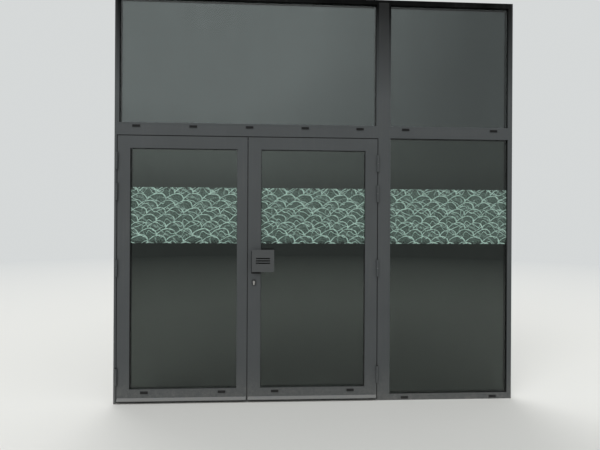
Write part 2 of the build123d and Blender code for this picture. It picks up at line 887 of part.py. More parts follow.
    with BuildPart() as drip_bar:
        z0 = leaf_bottom + drip_up
        z1 = z0 + drip_h
        nose = front - drip_out
        with BuildSketch(Plane.YZ.offset(leaf.rect.left + drip_end)):
            with BuildLine():
                Polyline(
                    (front, z0 + drip_t),
                    (front, z1),
                    (front - drip_t, z1),
                    (nose, z0 + 3 * drip_t),
                    (nose, z0),
                    (nose + drip_t, z0),
                    (nose + drip_t, z0 + 2 * drip_t),
                    (front - drip_t, z1 - 2 * drip_t),
                    (front - drip_t, z0 + drip_t),
                    close=True,
                )
            make_face()
        extrude(amount=leaf.rect.right - leaf.rect.left - 2 * drip_end)
    pieces[name + "_drip_bar"] = drip_bar

    with BuildPart() as edge_seals:
        seal_y = (front + meeting_seal_w / 2, front + 3 * meeting_seal_w / 2)
        lip = (leaf.edge_x, leaf.edge_x + leaf.toward * meeting_lip)
        block(lip, seal_y, (leaf_bottom, leaf_top))
        along = (leaf.rect.left + seal_end, leaf.rect.right - seal_end)
        plate_z = (leaf_bottom - brush_plate_t, leaf_bottom)
        block(along, (-brush_plate_w / 2, brush_plate_w / 2), plate_z)
        block(along, (-brush_w / 2, brush_w / 2), (threshold_h + brush_clear, plate_z[0]))
        if leaf is left_leaf:
            bolt_socket((threshold_h, leaf_bottom))
    pieces[name + "_edge_seals"] = edge_seals

    with BuildPart() as hinge_halves:
        for owner, x, z in hinge_places:
            if owner is leaf:
                high = z + hinge_h / 2
                bore_z = (z + knuckle_gap, high - pin_in + fit)
                hinge_half(x, leaf.toward, z + knuckle_gap, high, pin_r + pin_play, bore_z)
    pieces[name + "_hinge_halves"] = hinge_halves

    with BuildPart() as drain_caps:
        for x in drains:
            drain_cap(x, core.bottom - leaf_drain_drop)
    pieces[name + "_drain_caps"] = drain_caps

# Fittings in the passive leaf's free edge

edge = left_leaf.edge_x
plate_x = (edge - face_t, edge)
plate_y = (-face_w / 2, face_w / 2)
slide_half = slide_t / 2 + bolt_play
with BuildPart() as left_edge_fittings:
    strike_z = (bolt_mid - strike_h / 2, bolt_mid + strike_h / 2)
    block(plate_x, plate_y, strike_z)
    play = 2 * bolt_play
    pocket_y = (-bolt_t / 2 - play, bolt_t / 2 + play)
    block(plate_x, pocket_y, (bolt_bottom - play, bolt_bottom + bolt_h + play), Mode.SUBTRACT)
    for end, z in plate_from_end.items():
        block(plate_x, plate_y, (z - plate_h / 2, z + plate_h / 2))
        up, down = (slide_travel, 0) if end == "top" else (0, slide_travel)
        slot_z = (z - slide_h / 2 - down - bolt_play, z + slide_h / 2 + up + bolt_play)
        block(plate_x, (-slide_half, slide_half), slot_z, Mode.SUBTRACT)
    for z in ((leaf_bottom, leaf_bottom + guide_h), (leaf_top - guide_h, leaf_top)):
        block((rod_x - 2 * rod_r, rod_x + 2 * rod_r), (outer_back, inner_front), z)
        rod(rod_r + 2 * pin_play, rod_x, 0, z, Mode.SUBTRACT)
pieces["left_edge_fittings"] = left_edge_fittings

with BuildPart() as flush_bolt_top:
    z = plate_from_end["top"]
    rod(rod_r, rod_x, 0, (z - slide_h / 2, leaf_top - rod_end))
    block((rod_x, edge - bolt_play), (-slide_t / 2, slide_t / 2), (z - slide_h / 2, z + slide_h / 2))
pieces["flush_bolt_top"] = flush_bolt_top

with BuildPart() as flush_bolt_bottom:
    z = plate_from_end["bottom"]
    rod(rod_r, rod_x, 0, (leaf_bottom + rod_end, z + slide_h / 2))
    block((rod_x, edge - bolt_play), (-slide_t / 2, slide_t / 2), (z - slide_h / 2, z + slide_h / 2))
pieces["flush_bolt_bottom"] = flush_bolt_bottom

# Lock and pulls on the active leaf

edge = right_leaf.edge_x
case_x = (edge + face_t, edge + face_t + case_l)
case_y = (-case_t / 2, case_t / 2)
bolt_z = (bolt_bottom, bolt_bottom + bolt_h)
bolt_tail = case_x[1] - case_wall - 4 * bolt_play
with BuildPart() as lock_case:
    case_z = (lock_z - case_below, lock_z + case_above)
    block(case_x, case_y, case_z)
    inner_x = (case_x[0], case_x[1] - case_wall)
    inner_y = (case_y[0] + case_wall, case_y[1] - case_wall)
    inner_z = (case_z[0] + case_wall, case_z[1] - case_wall)
    block(inner_x, inner_y, inner_z, Mode.SUBTRACT)
    # Ribs above and below the deadbolt guide it
    guide_x = (case_x[0], case_x[0] + bolt_rib)
    block(guide_x, inner_y, (bolt_z[0] - case_wall - bolt_play, bolt_z[0] - bolt_play))
    block(inner_x, inner_y, (bolt_z[1] + bolt_play, bolt_z[1] + bolt_play + case_wall))
    block((edge, edge + face_t), (-face_w / 2, face_w / 2), (lock_z - face_h / 2, lock_z + face_h / 2))
    window_y = (-bolt_t / 2 - bolt_play, bolt_t / 2 + bolt_play)
    window_z = (bolt_z[0] - bolt_play, bolt_z[1] + bolt_play)
    block((edge, edge + face_t), window_y, window_z, Mode.SUBTRACT)
    cylinder_hole(*case_y)
pieces["lock_case"] = lock_case

with BuildPart() as deadbolt:
    block((edge, bolt_tail), (-bolt_t / 2, bolt_t / 2), bolt_z)
    # A notch in the underside stands over the cam
    notch = (lock_x - cam_w, lock_x + cam_w)
    block(notch, (-bolt_t / 2, bolt_t / 2), (bolt_z[0], bolt_z[0] + cam_w / 2), Mode.SUBTRACT)
pieces["deadbolt"] = deadbolt

lock_plane = Plane(origin=(lock_x, cylinder_l / 2, lock_z), x_dir=(1, 0, 0), z_dir=(0, -1, 0))
with BuildPart() as lock_cylinder:
    with BuildSketch(lock_plane):
        euro_profile()
    extrude(amount=cylinder_l)
    rod(plug_r + pin_play, lock_x, (-cylinder_l / 2, cylinder_l / 2), lock_z, Mode.SUBTRACT)
    # The middle is cut away for the cam, down to the bridge that joins both halves
    bridge_top = lock_z - stem_drop - stem_r + bridge_h
    cam_gap = (-cam_t / 2 - fit, cam_t / 2 + fit)
    block((lock_x - barrel_r, lock_x + barrel_r), cam_gap, (bridge_top, lock_z + barrel_r), Mode.SUBTRACT)
pieces["lock_cylinder"] = lock_cylinder

with BuildPart() as cylinder_plug:
    rod(plug_r, lock_x, (-cylinder_l / 2, cylinder_l / 2), lock_z)
    block((lock_x - cam_w / 2, lock_x + cam_w / 2), (-cam_t / 2, cam_t / 2), (lock_z, lock_z + cam_r))
    key_x = (lock_x - key_w / 2, lock_x + key_w / 2)
    key_z = (lock_z - key_h / 2, lock_z + key_h / 2)
    for y in ((-cylinder_l / 2, key_d - cylinder_l / 2), (cylinder_l / 2 - key_d, cylinder_l / 2)):
        block(key_x, y, key_z, Mode.SUBTRACT)
pieces["cylinder_plug"] = cylinder_plug

with BuildPart() as lock_escutcheons:
    for y1 in (front, back + escutcheon_t):
        middle = (lock_x, y1, lock_z - escutcheon_drop)
        with BuildSketch(Plane(origin=middle, x_dir=(1, 0, 0), z_dir=(0, -1, 0))):
            SlotOverall(escutcheon_h, escutcheon_w, rotation=90)
        extrude(amount=escutcheon_t)
    cylinder_hole(front - escutcheon_t, back + escutcheon_t)
pieces["lock_escutcheons"] = lock_escutcheons


def pull_handle(side):
    """A square pull: a shallow tray held clear of the glass by a block on the stile. Outside is -1."""
    face = side * depth / 2
    left = edge + pull_left_in
    mid_x = left + pull_size / 2
    brim = sorted((face + side * (pull_out - pull_rim), face + side * pull_out))
    with BuildSketch(Plane(origin=(mid_x, brim[1], pull_z), x_dir=(1, 0, 0), z_dir=(0, -1, 0))) as tray:
        RectangleRounded(pull_size, pull_size, pull_corner)
    extrude(tray.sketch, amount=pull_rim)
    hollow = sorted((face + side * (pull_out - pull_rim), face + side * (pull_out - pull_t)))
    inner = pull_size / 2 - pull_t
    block((mid_x - inner, mid_x + inner), hollow, (pull_z - inner, pull_z + inner), Mode.SUBTRACT)
    base_z = (pull_z - pull_base_h / 2, pull_z + pull_base_h / 2)
    block((left, left + pull_base_w), (face, face + side * (pull_out - pull_t)), base_z)
    groove_y = (face + side * (pull_out - slot_d), face + side * pull_out)
    for k in (-1, 0, 1):
        z = pull_z + k * slot_pitch
        groove_z = (z - slot_h / 2, z + slot_h / 2)
        block((mid_x - slot_w / 2, mid_x + slot_w / 2), groove_y, groove_z, Mode.SUBTRACT)
    return left + pull_base_w / 2


with BuildPart() as pull_handle_outer:
    stud_x = pull_handle(-1)
    for up in (-stud_spacing / 2, stud_spacing / 2):
        rod(stud_r + pin_play, stud_x, (front - stud_deep, front), pull_z + up, Mode.SUBTRACT)
pieces["pull_handle_outer"] = pull_handle_outer

with BuildPart() as pull_handle_inner:
    stud_x = pull_handle(1)
    for up in (-stud_spacing / 2, stud_spacing / 2):
        rod(stud_r, stud_x, (front - stud_deep + 1, back), pull_z + up)
pieces["pull_handle_inner"] = pull_handle_inner

for name, built in pieces.items():
    built.part.label = name
    export_step(built.part, f"parts/{name}.step")
print(f"{len(pieces)} pieces, {overall_w:.1f} wide, {height:.1f} high")
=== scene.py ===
import json
import math

import bmesh
import bpy
from mathutils import Matrix, Vector


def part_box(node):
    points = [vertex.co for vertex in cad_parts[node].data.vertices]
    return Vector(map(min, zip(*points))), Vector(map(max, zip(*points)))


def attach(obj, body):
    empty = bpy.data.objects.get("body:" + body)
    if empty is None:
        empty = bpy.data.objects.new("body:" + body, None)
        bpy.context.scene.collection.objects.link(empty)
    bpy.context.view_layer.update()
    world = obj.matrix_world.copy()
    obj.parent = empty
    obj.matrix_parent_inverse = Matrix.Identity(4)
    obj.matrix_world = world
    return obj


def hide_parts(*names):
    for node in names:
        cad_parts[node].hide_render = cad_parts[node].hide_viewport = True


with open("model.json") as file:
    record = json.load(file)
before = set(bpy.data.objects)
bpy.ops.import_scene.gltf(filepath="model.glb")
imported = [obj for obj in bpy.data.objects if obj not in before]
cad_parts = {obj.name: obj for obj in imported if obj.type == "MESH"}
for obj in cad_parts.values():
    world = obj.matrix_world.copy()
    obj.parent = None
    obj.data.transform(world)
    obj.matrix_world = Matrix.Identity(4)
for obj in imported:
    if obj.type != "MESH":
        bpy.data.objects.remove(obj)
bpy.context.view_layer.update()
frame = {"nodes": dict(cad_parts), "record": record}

nodes = frame["nodes"]
body_of = {
    node: body
    for body, members in frame["record"]["behaviour"]["bodies"].items()
    for node in members
}
slot_of = {row["node"]: row["material_slot"] for row in frame["record"]["subparts"]}
MM = 0.001

# Shader nodes. Lengths in their inputs are metres, because every pattern reads Object coordinates.


class Finish:
    """A material under construction: nodes are added by kind and linked as they are made."""

    def __init__(self, name):
        self.material = bpy.data.materials.new(name)
        self.material.use_nodes = True
        self.tree = self.material.node_tree
        self.shader = self.tree.nodes["Principled BSDF"]
        self.output = self.tree.nodes["Material Output"]
        self.place = add_node(self.tree, "ShaderNodeTexCoord").outputs["Object"]

    def group(self, tree, **inputs):
        return add_node(self.tree, "ShaderNodeGroup", {"node_tree": tree}, **inputs)

    def set(self, **inputs):
        for name, value in inputs.items():
            feed(self.tree, self.shader, name, value)


def add_node(tree, kind, settings=None, **inputs):
    """A node with its settings and inputs; an input is a number, a colour or another node's output."""
    node = tree.nodes.new(kind)
    for name, value in (settings or {}).items():
        setattr(node, name, value)
    for name, value in inputs.items():
        feed(tree, node, name, value)
    return node


def feed(tree, node, name, value):
    """Set or link an input, named in lower case with underscores, or by its place as in at_2."""
    if name.startswith("at_"):
        socket = node.inputs[int(name[3:])]
    else:
        socket = next(s for s in node.inputs if s.name.lower().replace(" ", "_") == name)
    if isinstance(value, bpy.types.NodeSocket):
        tree.links.new(value, socket)
    else:
        socket.default_value = value


def maths(tree, operation, *values):
    """Output of one Math node."""
    inputs = {f"at_{k}": value for k, value in enumerate(values)}
    return add_node(tree, "ShaderNodeMath", {"operation": operation}, **inputs).outputs[0]


def vector_maths(tree, operation, *values):
    """Output of one Vector Math node that gives a vector."""
    inputs = {f"at_{k}": value for k, value in enumerate(values)}
    return add_node(tree, "ShaderNodeVectorMath", {"operation": operation}, **inputs).outputs["Vector"]


def mixed(tree, share, first, second):
    """Colour between two, by a share from 0 to 1."""
    # A Mix node's sockets for numbers and colours share their names, so its colours are found by place
    node = add_node(tree, "ShaderNodeMix", {"data_type": "RGBA"}, at_0=share, at_6=first, at_7=second)
    return node.outputs[2]


def ramp(tree, value, low, high, out_low=0.0, out_high=1.0):
    """Clamped straight ramp from one range to another."""
    node = add_node(
        tree, "ShaderNodeMapRange", {"clamp": True},
        at_0=value, at_1=low, at_2=high, at_3=out_low, at_4=out_high,
    )
    return node.outputs[0]


def noise(tree, place, scale, detail, rough):
    """Noise value at a place."""
    node = add_node(
        tree, "ShaderNodeTexNoise", None, vector=place, scale=scale, detail=detail, roughness=rough
    )
    return node.outputs["Fac"]


def along(tree, place, axis):
    """Coordinate of a place along one axis."""
    return add_node(tree, "ShaderNodeSeparateXYZ", None, vector=place).outputs[axis]


def stretched(tree, place, scales):
    """Coordinates scaled along each axis."""
    return add_node(tree, "ShaderNodeMapping", None, vector=place, scale=scales).outputs[0]


def bumped(tree, height, strength, distance):
    """Normal of a surface with fine relief."""
    node = add_node(tree, "ShaderNodeBump", None, height=height, strength=strength, distance=distance)
    return node.outputs[0]


def roughened(tree, rough, dirt, gain):
    """Roughness that dirt raises."""
    return maths(tree, "ADD", rough, maths(tree, "MULTIPLY", dirt, gain))


def colour(red, green, blue):
    return (red, green, blue, 1.0)


def new_group(name, inputs, outputs):
    """An empty shader node group with named sockets, and its input and output nodes."""
    tree = bpy.data.node_groups.new(name, "ShaderNodeTree")
    for label, kind, default in inputs:
        socket = tree.interface.new_socket(name=label, in_out="INPUT", socket_type=kind)
        if default is not None:
            socket.default_value = default
    for label, kind in outputs:
        tree.interface.new_socket(name=label, in_out="OUTPUT", socket_type=kind)
    return tree, tree.nodes.new("NodeGroupInput"), tree.nodes.new("NodeGroupOutput")


# Effects that several finishes share

SPLASH_TOP = 0.42
SPLASH_FALL = 2.2
# Heights between which painted shade darkens the colour towards the top
PAINTED_SHADE_FROM = 2.5
PAINTED_SHADE_FULL = 3.26
RUN_STRETCH = (55.0, 55.0, 1.6)
MOST_DIRT = 0.85
FADE_GAIN = 4.0


def make_weather_group():
    """Dust splashed up from the ground, dry rain runs and cloudy fading; painted shade darkens the top."""
    tree, given, result = new_group(
        "Weathering",
        [
            ("Place", "NodeSocketVector", None),
            ("Base", "NodeSocketColor", None),
            ("Dust", "NodeSocketColor", None),
            ("Fading", "NodeSocketFloat", 0.06),
            ("Runs", "NodeSocketFloat", 0.10),
            ("Splash", "NodeSocketFloat", 0.35),
            ("Shelter", "NodeSocketFloat", 0.0),
        ],
        [("Color", "NodeSocketColor"), ("Dirt", "NodeSocketFloat")],
    )
    place = given.outputs["Place"]
    height = along(tree, place, "Z")
    clouds = noise(tree, place, scale=2.3, detail=5.0, rough=0.6)

    runs = noise(tree, stretched(tree, place, RUN_STRETCH), scale=1.0, detail=4.0, rough=0.55)
    runs = ramp(tree, runs, 0.52, 0.78)
    runs = maths(tree, "MULTIPLY", runs, ramp(tree, clouds, 0.35, 0.65))
    runs = maths(tree, "MULTIPLY", runs, given.outputs["Runs"])

    blotches = ramp(tree, noise(tree, place, scale=38.0, detail=4.0, rough=0.6), 0.3, 0.8)
    specks = ramp(tree, noise(tree, place, scale=160.0, detail=3.0, rough=0.7), 0.42, 0.70)
    low = maths(tree, "POWER", ramp(tree, height, SPLASH_TOP, 0.0), SPLASH_FALL)
    splash = maths(tree, "MULTIPLY", low, maths(tree, "ADD", specks, blotches))
    splash = maths(tree, "MULTIPLY", splash, given.outputs["Splash"])
    dirt = maths(tree, "MINIMUM", maths(tree, "ADD", splash, runs), MOST_DIRT)

    fade = maths(tree, "MULTIPLY", maths(tree, "SUBTRACT", clouds, 0.5), given.outputs["Fading"])
    fade = maths(tree, "MULTIPLY", fade, FADE_GAIN)
    # Painted shade: the colour darkens towards the top, standing in for shade from above
    painted_shade = ramp(tree, height, PAINTED_SHADE_FROM, PAINTED_SHADE_FULL)
    painted_shade = maths(tree, "MULTIPLY", painted_shade, given.outputs["Shelter"])
    bright = maths(tree, "ADD", fade, maths(tree, "SUBTRACT", 1.0, painted_shade))
    scaling = {"operation": "SCALE"}
    toned = add_node(tree, "ShaderNodeVectorMath", scaling, at_0=given.outputs["Base"], scale=bright)

    seen = mixed(tree, dirt, toned.outputs["Vector"], given.outputs["Dust"])
    tree.links.new(seen, result.inputs["Color"])
    tree.links.new(dirt, result.inputs["Dirt"])
    return tree


RIPPLE_SHARE = 1.5


def make_grain_group():
    """Fine grain of a powder coat: small pimples over a slow ripple."""
    tree, given, result = new_group(
        "Coat grain",
        [
            ("Place", "NodeSocketVector", None),
            ("Pimples", "NodeSocketFloat", 1400.0),
            ("Ripple", "NodeSocketFloat", 160.0),
        ],
        [("Height", "NodeSocketFloat"), ("Shade", "NodeSocketFloat")],
    )
    place = given.outputs["Place"]
    pimples = noise(tree, place, scale=given.outputs["Pimples"], detail=2.0, rough=0.5)
    ripple = noise(tree, place, scale=given.outputs["Ripple"], detail=1.0, rough=0.5)
    height = maths(tree, "ADD", pimples, maths(tree, "MULTIPLY", ripple, RIPPLE_SHARE))
    tree.links.new(height, result.inputs["Height"])
    tree.links.new(ramp(tree, pimples, 0.3, 0.7), result.inputs["Shade"])
    return tree


def make_brush_group():
    """Long fine scratches along one axis of a metal."""
    tree, given, result = new_group(
        "Brushing",
        [("Place", "NodeSocketVector", None), ("Stretch", "NodeSocketVector", None)],
        [("Height", "NodeSocketFloat"), ("Shade", "NodeSocketFloat")],
    )
    drawn_out = vector_maths(tree, "MULTIPLY", given.outputs["Place"], given.outputs["Stretch"])
    lines = noise(tree, drawn_out, scale=1.0, detail=4.0, rough=0.7)
    tree.links.new(lines, result.inputs["Height"])
    tree.links.new(ramp(tree, lines, 0.35, 0.65), result.inputs["Shade"])
    return tree


LINE_CORE = 0.45


def make_crest_group():
    """Lines of a wave field that repeats across and up, each line about as wide as asked."""
    tree, given, result = new_group(
        "Crest lines",
        [
            ("Across", "NodeSocketFloat", 0.0),
            ("Up", "NodeSocketFloat", 0.0),
            ("Pitch", "NodeSocketFloat", 0.187),
            ("Row", "NodeSocketFloat", 0.114),
            ("Swing", "NodeSocketFloat", 0.3),
            ("Phase", "NodeSocketFloat", 0.0),
            ("Lean", "NodeSocketFloat", 0.6),
            ("Line", "NodeSocketFloat", 0.08),
        ],
        [("Mask", "NodeSocketFloat")],
    )
    column = maths(tree, "DIVIDE", given.outputs["Across"], given.outputs["Pitch"])
    turn = maths(tree, "ADD", maths(tree, "MULTIPLY", column, math.tau), given.outputs["Phase"])
    lean = maths(tree, "MULTIPLY", maths(tree, "SINE", turn), given.outputs["Lean"])
    wave = maths(tree, "SINE", maths(tree, "ADD", turn, lean))
    wave = maths(tree, "MULTIPLY", wave, given.outputs["Swing"])
    level = maths(tree, "DIVIDE", given.outputs["Up"], given.outputs["Row"])
    row_place = maths(tree, "FRACT", maths(tree, "SUBTRACT", level, wave))
    from_middle = maths(tree, "ABSOLUTE", maths(tree, "SUBTRACT", row_place, 0.5))
    from_line = maths(tree, "SUBTRACT", 0.5, from_middle)
    half = maths(tree, "MULTIPLY", given.outputs["Line"], 0.5)
    mask = ramp(tree, from_line, half, maths(tree, "MULTIPLY", half, LINE_CORE))
    tree.links.new(mask, result.inputs["Mask"])
    return tree


RIM_FROM = 0.90
RIM_FULL = 0.94
RING_EDGE = 0.40
RING_CORE = 0.16


def make_fan_group():
    """Rows of leaning fans with rings inside each; every row lies in front of the row above it."""
    tree, given, result = new_group(
        "Combed fans",
        [
            ("Across", "NodeSocketFloat", 0.0),
            ("Up", "NodeSocketFloat", 0.0),
            ("Pitch", "NodeSocketFloat", 0.15),
            ("Row", "NodeSocketFloat", 0.045),
            ("Reach", "NodeSocketFloat", 0.08),
            ("Lean", "NodeSocketFloat", 0.4),
            ("Rings", "NodeSocketFloat", 5.0),
        ],
        [("Rim", "NodeSocketFloat"), ("Rings", "NodeSocketFloat")],
    )
    level = maths(tree, "DIVIDE", given.outputs["Up"], given.outputs["Row"])
    nearest = maths(tree, "FLOOR", level)

    def distance(step):
        """Distance from the nearest fan's foot in the row some steps up, as a share of the fans' reach."""
        row = maths(tree, "ADD", nearest, step)
        over = maths(tree, "MULTIPLY", maths(tree, "SUBTRACT", level, row), given.outputs["Row"])
        leaned = maths(tree, "MULTIPLY_ADD", over, given.outputs["Lean"], given.outputs["Across"])
        # Every other row is set half a pitch aside
        aside = maths(tree, "FRACT", maths(tree, "MULTIPLY", row, 0.5))
        column = maths(tree, "ADD", maths(tree, "DIVIDE", leaned, given.outputs["Pitch"]), aside)
        beside = maths(tree, "SUBTRACT", maths(tree, "FRACT", column), 0.5)
        beside = maths(tree, "MULTIPLY", beside, given.outputs["Pitch"])
        beside_squared = maths(tree, "MULTIPLY", beside, beside)
        over_squared = maths(tree, "MULTIPLY", over, over)
        straight = maths(tree, "SQRT", maths(tree, "ADD", beside_squared, over_squared))
        return maths(tree, "DIVIDE", straight, given.outputs["Reach"])

    shown = distance(1.0)
    for step in (0.0, -1.0):
        front = distance(step)
        inside = maths(tree, "LESS_THAN", front, 1.0)
        change = maths(tree, "MULTIPLY", maths(tree, "SUBTRACT", front, shown), inside)
        shown = maths(tree, "ADD", shown, change)
    ring = maths(tree, "FRACT", maths(tree, "MULTIPLY", shown, given.outputs["Rings"]))
    ring = maths(tree, "ABSOLUTE", maths(tree, "SUBTRACT", ring, 0.5))
    tree.links.new(ramp(tree, shown, RIM_FROM, RIM_FULL), result.inputs["Rim"])
    tree.links.new(ramp(tree, ring, RING_EDGE, RING_CORE), result.inputs["Rings"])
    return tree


WEATHER = make_weather_group()
GRAIN = make_grain_group()
BRUSHING = make_brush_group()
CRESTS = make_crest_group()
FANS = make_fan_group()

# Finishes

DUST = colour(0.19, 0.185, 0.17)
GRAIN_ROUGHNESS = 0.06
COAT_DIRT_GAIN = 0.35
DIRT_GAIN = 0.3


def coated(name, base, rough=0.46, splash=0.35, runs=0.10, shelter=0.0, specular=0.35):
    """Satin powder coat with weather on it, and painted shade that darkens it towards the top."""
    finish = Finish(name)
    tree = finish.tree
    weather = finish.group(
        WEATHER, place=finish.place, base=base, dust=DUST, splash=splash, runs=runs, shelter=shelter
    )
    grain = finish.group(GRAIN, place=finish.place)
    shade = ramp(tree, grain.outputs["Shade"], 0.0, 1.0, 0.0, GRAIN_ROUGHNESS)
    dirtied = roughened(tree, rough, weather.outputs["Dirt"], COAT_DIRT_GAIN)
    finish.set(
        base_color=weather.outputs["Color"],
        roughness=maths(tree, "ADD", dirtied, shade),
        specular_ior_level=specular,
        normal=bumped(tree, grain.outputs["Height"], strength=0.25, distance=0.12 * MM),
    )
    return finish.material


def brushed(name, base, stretch, rough=0.32, dirt=0.2):
    """Metal with fine scratches along one axis."""
    finish = Finish(name)
    tree = finish.tree
    weather = finish.group(
        WEATHER, place=finish.place, base=base, dust=DUST, splash=dirt, runs=0.04
    )
    lines = finish.group(BRUSHING, place=finish.place, stretch=stretch)
    scratched = ramp(tree, lines.outputs["Shade"], 0.0, 1.0, rough - 0.06, rough + 0.10)
    finish.set(
        base_color=weather.outputs["Color"],
        metallic=1.0,
        roughness=roughened(tree, scratched, weather.outputs["Dirt"], DIRT_GAIN),
        normal=bumped(tree, lines.outputs["Height"], strength=0.2, distance=0.05 * MM),
    )
    return finish.material


def moulded(name, base, rough, splash):
    """Moulded or extruded black plastic and rubber, with dust caught in it."""
    finish = Finish(name)
    tree = finish.tree
    weather = finish.group(
        WEATHER, place=finish.place, base=base, dust=DUST, splash=splash, runs=0.02, fading=0.12
    )
    grain = finish.group(GRAIN, place=finish.place, pimples=900.0)
    finish.set(
        base_color=weather.outputs["Color"],
        roughness=roughened(tree, rough, weather.outputs["Dirt"], DIRT_GAIN),
        specular_ior_level=0.2,
        normal=bumped(tree, grain.outputs["Height"], strength=0.3, distance=0.1 * MM),
    )
    return finish.material


TRACE_STRETCH = (9.0, 9.0, 2.0)
TRACE_TONE = 0.94


def tinted_glass(name, red, green, blue):
    """Grey-green body-tinted glass with faint traces of dried water."""
    finish = Finish(name)
    tree = finish.tree
    traces = noise(tree, stretched(tree, finish.place, TRACE_STRETCH), scale=1.0, detail=5.0, rough=0.6)
    traced = colour(TRACE_TONE * red, TRACE_TONE * green, TRACE_TONE * blue)
    finish.set(
        base_color=mixed(tree, ramp(tree, traces, 0.35, 0.75), colour(red, green, blue), traced),
        roughness=0.0,
        ior=1.5,
        transmission_weight=1.0,
    )
    return finish.material


# Layers of the print: fans with the shares of their rims and rings, and crest lines

FAN_LAYERS = (
    ({"pitch": 0.146, "row": 0.0570, "reach": 0.082, "lean": -0.35, "rings": 5.0}, 0.95, 0.40),
    ({"pitch": 0.219, "row": 0.0760, "reach": 0.090, "lean": 0.70, "rings": 5.0}, 0.62, 0.30),
)
CREST_LAYERS = (
    {"pitch": 0.146, "row": 0.091, "swing": 0.30, "phase": 0.0, "lean": 0.8, "line": 0.075},
    {"pitch": 0.219, "row": 0.1517, "swing": -0.22, "phase": 1.1, "lean": 0.6, "line": 0.046},
)
FILM_GROUND = colour(0.022, 0.046, 0.034)
FILM_LINES = colour(0.40, 0.57, 0.50)
GROUND_COVER = 0.5
LINE_COVER = 0.97
HAND_WOBBLE = 0.03
RAGGED_EDGE = 0.03


def film_print(name, middle, low_z, high_z):
    """Rows of combed crests printed in pale green on a darker ground with ragged edges."""
    finish = Finish(name)
    tree = finish.tree
    wobble = add_node(tree, "ShaderNodeTexNoise", None, vector=finish.place, scale=9.0, detail=1.0)
    moved = vector_maths(tree, "MULTIPLY_ADD", wobble.outputs["Color"], (HAND_WOBBLE,) * 3, finish.place)
    across = maths(tree, "SUBTRACT", along(tree, moved, "X"), middle)
    up = maths(tree, "SUBTRACT", along(tree, moved, "Z"), low_z)

    masks = []
    for pattern, rim_share, ring_share in FAN_LAYERS:
        fans = finish.group(FANS, across=across, up=up, **pattern)
        masks.append(maths(tree, "MULTIPLY", fans.outputs["Rim"], rim_share))
        masks.append(maths(tree, "MULTIPLY", fans.outputs["Rings"], ring_share))
    for pattern in CREST_LAYERS:
        masks.append(finish.group(CRESTS, across=across, up=up, **pattern).outputs["Mask"])
    mask = masks[0]
    for other in masks[1:]:
        mask = maths(tree, "MAXIMUM", mask, other)
    worn = noise(tree, finish.place, scale=45.0, detail=3.0, rough=0.6)
    mask = maths(tree, "MULTIPLY", mask, ramp(tree, worn, 0.30, 0.62, 0.55, 1.0))

    height = along(tree, finish.place, "Z")
    above = maths(tree, "SUBTRACT", height, low_z)
    below = maths(tree, "SUBTRACT", high_z, height)
    ragged = noise(tree, finish.place, scale=28.0, detail=2.0, rough=0.6)
    ragged = maths(tree, "MULTIPLY", ragged, RAGGED_EDGE)
    inset = maths(tree, "SUBTRACT", maths(tree, "MINIMUM", above, below), ragged)
    ground = ramp(tree, inset, -12.0 * MM, 10.0 * MM, 0.0, GROUND_COVER)
    finish.set(
        base_color=mixed(tree, mask, FILM_GROUND, FILM_LINES),
        roughness=0.42,
        alpha=maths(tree, "MAXIMUM", ground, ramp(tree, mask, 0.15, 0.8, 0.0, LINE_COVER)),
    )
    return finish.material


# The frame's coat, with painted shade towards the top
coat = coated("Dark grey coat", colour(0.055, 0.0595, 0.0615), shelter=0.95)
# A shaded copy of the coat for the head and the fixed lights' beads: more painted shade towards the top and
# a weak sheen
coat_shaded_copy = coated(
    "Dark grey coat, sheltered", colour(0.066, 0.071, 0.073), shelter=0.97, specular=0.08
)
coat_handle = coated(
    "Dark grey coat, handled", colour(0.057, 0.060, 0.061), rough=0.38, splash=0.0, runs=0.02
)
# The drip bars' coat: splashed dust, and a lighter colour that paints the skylight on their sloping faces
coat_ledge_dust_and_painted_light = coated(
    "Dark grey coat, dusty ledge", colour(0.145, 0.151, 0.154), rough=0.42, splash=0.6, runs=0.06
)
dark_steel = coated("Dark steel", colour(0.030, 0.031, 0.032), rough=0.34, splash=0.0, runs=0.0)
bare = brushed(
    "Anodised aluminium", colour(0.34, 0.34, 0.335), (3.0, 600.0, 600.0), rough=0.36, dirt=0.55
)
spacer = brushed(
    "Spacer aluminium", colour(0.55, 0.55, 0.55), (400.0, 400.0, 3.0), rough=0.4, dirt=0.0
)
steel = brushed("Brushed steel", colour(0.46, 0.46, 0.455), (500.0, 500.0, 4.0), rough=0.30)
nickel = brushed(
    "Satin nickel", colour(0.62, 0.61, 0.585), (500.0, 6.0, 500.0), rough=0.22, dirt=0.0
)
rubber = moulded("Black rubber", colour(0.008, 0.008, 0.008), rough=0.66, splash=0.1)
plastic = moulded("Black plastic", colour(0.006, 0.006, 0.006), rough=0.55, splash=0.06)
polyamide = moulded("Black polyamide", colour(0.014, 0.014, 0.015), rough=0.55, splash=0.0)
glass = tinted_glass("Tinted glass", 0.235, 0.262, 0.245)
# A paler copy of the glass for the fanlights: painted reflection of the brighter sky
glass_painted_sky_reflection = tinted_glass("Tinted glass, paler", 0.295, 0.320, 0.315)

SLOT_FINISH = {
    "coated_aluminium": coat,
    "bare_aluminium": bare,
    "thermal_plastic": polyamide,
    "glass": glass,
    "spacer": spacer,
    "black_rubber": rubber,
    "black_plastic": plastic,
    "film": plastic,
    "steel": steel,
    "nickel": nickel,
    "dark_steel": dark_steel,
}
# Finishes for single nodes; those of the head, the beads, the drip bars and the fanlights paint light or
# shade
SPECIAL_FINISH = {
    "head": coat_shaded_copy,
    "fixed_light_beads": coat_shaded_copy,
    "left_drip_bar": coat_ledge_dust_and_painted_light,
    "right_drip_bar": coat_ledge_dust_and_painted_light,
    "pull_handle_outer": coat_handle,
    "pull_handle_inner": coat_handle,
    "fanlight_glass": glass_painted_sky_reflection,
}


